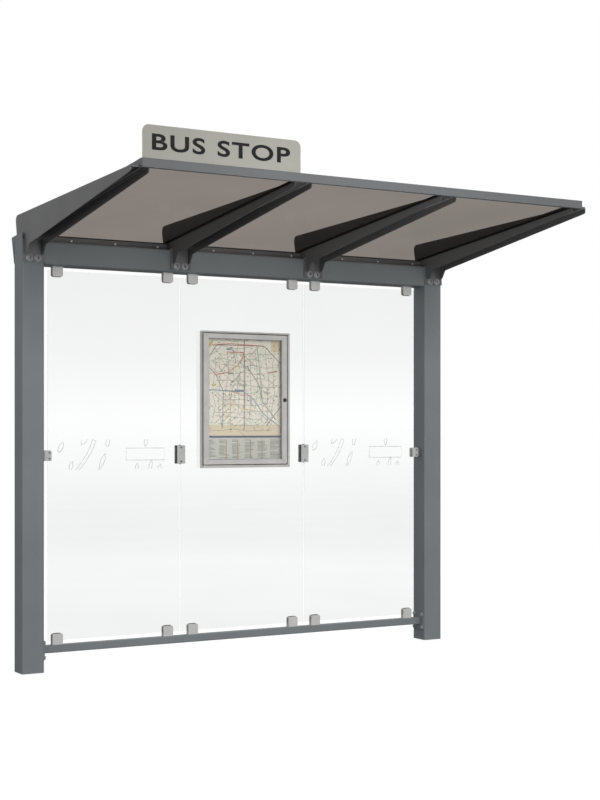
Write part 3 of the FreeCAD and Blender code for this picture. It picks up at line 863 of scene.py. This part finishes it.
def make_door_details():
    """Glazing bead, mitre lines at the corners and the lock's keyhole."""
    door_low, door_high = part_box("notice_door_frame")
    pane_low, pane_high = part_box("notice_door_glazing")
    lock_low, lock_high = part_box("notice_lock")
    x0, x1 = pane_low.x + DOOR_REBATE, pane_high.x - DOOR_REBATE
    z0, z1 = pane_low.z + DOOR_REBATE, pane_high.z - DOOR_REBATE
    front, back = pane_low.y - BEAD_DEPTH, pane_low.y - TOUCH

    def build_bead(work):
        left, right = x0 + BEAD_WIDTH, x1 - BEAD_WIDTH
        add_box(work, (x0, front, z0), (left, back, z1))
        add_box(work, (right, front, z0), (x1, back, z1))
        add_box(work, (left, front, z1 - BEAD_WIDTH), (right, back, z1))
        add_box(work, (left, front, z0), (right, back, z0 + BEAD_WIDTH))

    make_piece("door_glazing_bead", build_bead, liner_grey, "notice_door", 0.0005)

    def build_mitres(work):
        left, right = door_low.x + DOOR_ROUND, door_high.x - 0.001
        pairs = (
            ((left, door_low.z), (x0, z0)),
            ((right, door_low.z), (x1, z0)),
            ((left, door_high.z), (x0, z1)),
            ((right, door_high.z), (x1, z1)),
        )
        for pair in pairs:
            add_stroke(work, pair, JOINT_LINE, door_low.y, LINE_SHEET)

    make_piece("door_mitre_lines", build_mitres, seal_black, "notice_door")

    def build_keyhole(work):
        x, _, z = middle_of(lock_low, lock_high)
        face = lock_low.y
        add_ring(work, (x, face, z), TO_ROAD, 0.0048, 0.0062, 0.0006)
        add_box(work, (x - 0.0006, face - 0.0004, z - 0.003), (x + 0.0006, face, z + 0.003))

    make_piece("lock_keyway", build_keyhole, cap_black, "notice_door")


def make_case_details():
    """Black brush seal round the door, on its lock side, that also paints the shadow in the gap
    there, and joint lines at the case's corners.
    """
    case_low, case_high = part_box("notice_case")
    door_low, door_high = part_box("notice_door_frame")

    # The black seal is partly a painted shadow in the gap beside the door
    def build_seal(work):
        inside = door_high.x + 0.0052
        start = door_low.x + 0.03
        front = case_low.y + 0.004
        back = front + 0.006
        near, far = 0.003, 0.0048
        add_box(work, (inside - 0.002, front, door_low.z), (inside, back, door_high.z))
        add_box(work, (start, front, door_high.z + near), (inside, back, door_high.z + far))
        add_box(work, (start, front, door_low.z - far), (inside, back, door_low.z - near))

    make_piece("case_brush_seal_and_shadow", build_seal, seal_black)

    def build_joints(work):
        for z in (door_low.z - 0.005, door_high.z + 0.005):
            ends = [(case_high.x - 0.012, z), (case_high.x, z)]
            add_stroke(work, ends, JOINT_LINE, case_low.y, LINE_SHEET)

    make_piece("case_corner_lines", build_joints, seal_black)


# ---- Clamps, bolts, welds and seals ---------------------------------------------------------

LINER_SHEET = 0.0028
LINER_INSET = 0.010
LINER_RISE = 0.01                  # up into the clamp's mouth
LINER_PROUD = 0.002                # out of it
SCREW_INSET = 0.012
GLASS_CLAMPS = ("top_glass_clamps", "bottom_glass_clamps")
MIDDLE_CLAMPS = ("joint_clamp_left", "joint_clamp_right", "side_clamp_left", "side_clamp_right")


def make_clamp_details():
    """Rubber liners at the clamps' mouths, their socket screws and the joint clamps' pads."""
    glass_low, glass_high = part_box("glass_panel_middle")

    def liners_of(name, toward):
        """Liners of a row of clamps whose mouths face down (-1) or up (1)."""
        def build(work):
            for low_corner, high_corner in islands(name):
                tip = low_corner.z if toward < 0 else high_corner.z
                z0, z1 = sorted((tip - toward * LINER_RISE, tip + toward * LINER_PROUD))
                x0, x1 = low_corner.x + LINER_INSET, high_corner.x - LINER_INSET
                for face, side in ((glass_low.y, -1), (glass_high.y, 1)):
                    y0, y1 = sorted((face + side * TOUCH, face + side * LINER_SHEET))
                    add_box(work, (x0, y0, z0), (x1, y1, z1))
        return build

    edge = 0.0006
    top_row = liners_of("top_glass_clamps", -1)
    bottom_row = liners_of("bottom_glass_clamps", 1)
    make_piece("top_clamp_liners", top_row, liner_grey, edge=edge)
    make_piece("bottom_clamp_liners", bottom_row, seal_black, edge=edge)

    def build_screws(work):
        for name in GLASS_CLAMPS:
            for low_corner, high_corner in islands(name):
                x, _, z = middle_of(low_corner, high_corner)
                add_ring(work, (x, high_corner.y, z), TO_BACK, 0.0022, 0.0055, 0.0012)

    make_piece("clamp_back_screws", build_screws, bolt_metal)

    def build_dark_screws(work):
        for name in MIDDLE_CLAMPS:
            low_corner, high_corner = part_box(name)
            middle = (low_corner.x + high_corner.x) / 2
            x = middle if name.startswith("joint") else high_corner.x - SCREW_INSET
            for z in (low_corner.z + SCREW_INSET, high_corner.z - SCREW_INSET):
                add_ring(work, (x, low_corner.y, z), TO_ROAD, 0.0020, 0.0048, 0.0008)

    make_piece("clamp_front_screws", build_dark_screws, lock_black)

    def build_pads(work):
        clamp_low, clamp_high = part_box("joint_clamp_left")
        depth, proud, clear = 0.006, 0.003, 0.0005
        for first, second in (("left", "middle"), ("middle", "right")):
            x0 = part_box(f"glass_panel_{first}")[1].x + clear
            x1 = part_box(f"glass_panel_{second}")[0].x - clear
            add_box(work, (x0, -depth, clamp_low.z - proud), (x1, depth, clamp_low.z))
            add_box(work, (x0, -depth, clamp_high.z), (x1, depth, clamp_high.z + proud))

    make_piece("joint_clamp_pads", build_pads, seal_black)


def make_washers():
    """Washers under the arms' and the rail's bolt heads, and black discs that paint the shade at
    the bottom of the sockets.
    """
    def build(work):
        for low_corner, high_corner in islands("arm_bolts"):
            x, _, z = middle_of(low_corner, high_corner)
            add_ring(work, (x, high_corner.y, z), TO_ROAD, 0.0155, 0.0185, 0.0016)
        for low_corner, high_corner in islands("rail_bolts"):
            _, y, z = middle_of(low_corner, high_corner)
            on_left = low_corner.x < cad_high.x / 2
            face, inward = (low_corner.x, 1) if on_left else (high_corner.x, -1)
            add_ring(work, (face, y, z), (inward, 0, 0), 0.0088, 0.0125, 0.0014)

    make_piece("bolt_washers", build, bolt_metal)

    # Black discs at the bottom of the sockets: painted shade down in them
    def build_sockets(work):
        for low_corner, high_corner in islands("arm_bolts"):
            middle = middle_of(low_corner, high_corner)
            add_ring(work, middle, TO_ROAD, 0.0, 0.0049, 0.0008)

    make_piece("bolt_socket_painted_shade", build_sockets, lock_black)


PLATE_SHEET = 0.004
WEB_RISE = 0.006
SEAL_WIDTH = 0.006
PANEL_THICKNESS = 0.010
SEAM_START = 0.02                  # in front of the beam
SEAM_END = 0.03                    # behind the panels' front edge
SEAM_EDGE = 0.0008


def make_arm_seams():
    """Sealant along the webs: a pale run on one side, partly a painted highlight of light through
    the joint, and a black one on the other, partly a painted shadow in the gap.
    """
    panel_low, panel_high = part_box("roof_panel_left")
    next_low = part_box("roof_panel_middle")[0]
    arm_low, arm_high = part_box("roof_arm_2")
    centre = (arm_low.x + arm_high.x) / 2
    inside = next_low.x - SEAL_WIDTH - PLATE_SHEET - centre
    start_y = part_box("top_beam")[0].y - SEAM_START
    end_y = panel_low.y + SEAM_END
    slope = (panel_high.z - panel_low.z - PANEL_THICKNESS) / (panel_high.y - panel_low.y)

    def web_underside(y):
        return panel_low.z + slope * (panel_high.y - y) + WEB_RISE

    def seam(side, size):
        def build(work):
            for index in range(1, 5):
                box_low, box_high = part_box(f"roof_arm_{index}")
                middle = (box_low.x + box_high.x) / 2
                x0, x1 = sorted((middle + side * inside, middle + side * (inside - size)))
                corners = []
                for y, drop in ((start_y, 0), (start_y, size), (end_y, size), (end_y, 0)):
                    corners.append((x0, y, web_underside(y) - TOUCH - drop))
                add_prism(work, corners, (x1 - x0, 0, 0))
        return build

    # The pale run is partly painted highlight, the black run partly painted shadow
    make_piece("arm_seam_sealant_and_highlight", seam(1, 0.004), liner_grey, edge=SEAM_EDGE)
    make_piece("arm_seam_sealant_and_shadow", seam(-1, 0.005), seal_black, edge=SEAM_EDGE)


BEAM_BEAD, RAIL_BEAD = 0.0018, 0.0016
BEAM_CORNER, RAIL_CORNER = 0.009, 0.004
BEAD_OFFSET = 0.0004               # from the joint, along the tube


def make_welds():
    """Beads where the beam meets the posts and the rail meets its end plates."""
    beam_low, beam_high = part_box("top_beam")
    rail_low, rail_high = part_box("bottom_rail")

    def build(work):
        front, back = beam_low.y, beam_high.y
        low_z, high_z = beam_low.z + BEAM_CORNER, beam_high.z - BEAM_CORNER
        for end, away in ((beam_low.x, 1), (beam_high.x, -1)):
            x = end + away * BEAD_OFFSET
            add_bead(work, (x, front, low_z), (x, front, high_z), BEAM_BEAD, TO_ROAD)
            add_bead(work, (x, back, low_z), (x, back, high_z), BEAM_BEAD, TO_BACK)
            under_front = (x, front + BEAM_CORNER, beam_low.z)
            under_back = (x, back - BEAM_CORNER, beam_low.z)
            add_bead(work, under_front, under_back, BEAM_BEAD, (0, 0, -1))
        low_y, high_y = rail_low.y + RAIL_CORNER, rail_high.y - RAIL_CORNER
        low_z, high_z = rail_low.z + RAIL_CORNER, rail_high.z - RAIL_CORNER
        for end, away in ((rail_low.x, 1), (rail_high.x, -1)):
            x = end + away * BEAD_OFFSET
            for y, normal in ((rail_low.y, TO_ROAD), (rail_high.y, TO_BACK)):
                add_bead(work, (x, y, low_z), (x, y, high_z), RAIL_BEAD, normal)
            for z, normal in ((rail_low.z, (0, 0, -1)), (rail_high.z, (0, 0, 1))):
                add_bead(work, (x, low_y, z), (x, high_y, z), RAIL_BEAD, normal)

    make_piece("frame_welds", build, frame_paint)


for make_part in (
    make_sign,
    make_etching,
    make_poster,
    make_door_details,
    make_case_details,
    make_clamp_details,
    make_washers,
    make_arm_seams,
    make_welds,
):
    make_part()


# ---- Studio ---------------------------------------------------------------------------

# Levels of the sky by the height of the direction, from straight down to straight up
SKY_LEVELS = [(-1.0, 0.12), (-0.1, 0.18), (0.1, 0.42), (1.0, 1.1)]
# What glossy surfaces see of the road's side: a bright horizon, dimmer above and below it
GLOSS_LEVELS = [
    (-1.0, 0.3),
    (-0.14, 0.5),
    (-0.05, 1.2),
    (0.005, 4.0),
    (0.05, 1.9),
    (0.11, 0.75),
    (0.3, 0.6),
    (1.0, 1.0),
]
GLOSS_FADE = 0.3                   # how far past sideways the road's side fades out


def make_world():
    """Soft sky, white where the camera looks past the object."""
    world = bpy.data.worlds.new("studio")
    world.use_nodes = True
    tree = world.node_tree
    tree.nodes.clear()
    add = tree.nodes.new
    link = tree.links.new
    out = add("ShaderNodeOutputWorld")
    split = add("ShaderNodeSeparateXYZ")
    path = add("ShaderNodeLightPath")
    link(add("ShaderNodeTexCoord").outputs["Generated"], split.inputs[0])

    def sky(levels):
        span = add("ShaderNodeMapRange")
        link(split.outputs["Z"], span.inputs[0])
        span.inputs[1].default_value = -1.0
        ramp = add("ShaderNodeValToRGB")
        link(span.outputs[0], ramp.inputs[0])
        brightest = max(level for _, level in levels)
        fill_ramp(ramp, [((height + 1) / 2, (level / brightest,) * 3) for height, level in levels])
        background = add("ShaderNodeBackground")
        link(ramp.outputs[0], background.inputs[0])
        background.inputs[1].default_value = brightest
        return background

    def blend(share, first, second):
        mix = add("ShaderNodeMixShader")
        link(share, mix.inputs[0])
        link(first.outputs[0], mix.inputs[1])
        link(second.outputs[0], mix.inputs[2])
        return mix

    seen = add("ShaderNodeBackground")
    seen.inputs[0].default_value = (1.0, 1.0, 1.0, 1.0)
    front = add("ShaderNodeMapRange")
    link(split.outputs["Y"], front.inputs[0])
    front.inputs[1].default_value = GLOSS_FADE
    front.inputs[2].default_value = -GLOSS_FADE
    share = add("ShaderNodeMath")
    share.operation = "MULTIPLY"
    link(front.outputs[0], share.inputs[0])
    link(path.outputs["Is Glossy Ray"], share.inputs[1])
    lit = blend(share.outputs[0], sky(SKY_LEVELS), sky(GLOSS_LEVELS))
    link(blend(path.outputs["Is Camera Ray"], lit, seen).outputs[0], out.inputs[0])
    scene.world = world


FLOOR_REACH = 60.0
FLOOR_GLOW = 0.87


def make_floor():
    """Pale floor that catches soft shadows but throws no light on the object."""
    mesh = bpy.data.meshes.new("floor")
    turns = ((-1, -1), (1, -1), (1, 1), (-1, 1))
    corners = [(x * FLOOR_REACH, y * FLOOR_REACH, 0) for x, y in turns]
    mesh.from_pydata(corners, [], [(0, 1, 2, 3)])
    floor = bpy.data.objects.new("floor", mesh)
    scene.collection.objects.link(floor)
    g = Graph("floor")
    mottle = g.ramp(g.noise(0.8, 2.0), [(0.3, (0.15, 0.15, 0.15)), (0.7, (0.17, 0.17, 0.17))])
    matt = g.add("BsdfDiffuse", {0: mottle}).outputs[0]
    glow = g.add("Emission", {0: (1.0, 1.0, 1.0), 1: FLOOR_GLOW}).outputs[0]
    mesh.materials.append(g.finish(g.add("AddShader", {0: matt, 1: glow}).outputs[0]))
    floor.visible_diffuse = False
    floor.visible_glossy = False


def area_light(name, place, target, size, power):
    """Square light of that size in metres and power in watts, aimed at the target."""
    data = bpy.data.lights.new(name, "AREA")
    data.shape = "SQUARE"
    data.size = size
    data.energy = power
    lamp = bpy.data.objects.new(name, data)
    lamp.location = place
    lamp.rotation_euler = (Vector(target) - Vector(place)).to_track_quat("-Z", "Y").to_euler()
    lamp.visible_glossy = False
    scene.collection.objects.link(lamp)


make_world()
make_floor()
area_light("key", (2.2, -14.0, 6.5), (1.2, 0.0, 1.3), 5.0, 700.0)
area_light("rim", (4.5, 5.0, 5.0), (1.2, 0.0, 1.5), 4.0, 160.0)
area_light("left", (-6.0, -1.0, 1.7), (0.0, 0.0, 1.3), 3.0, 60.0)
area_light("inside", (0.7, -2.6, 1.4), (2.5, 0.0, 1.2), 0.8, 22.0)
scene.view_settings.view_transform = "Standard"
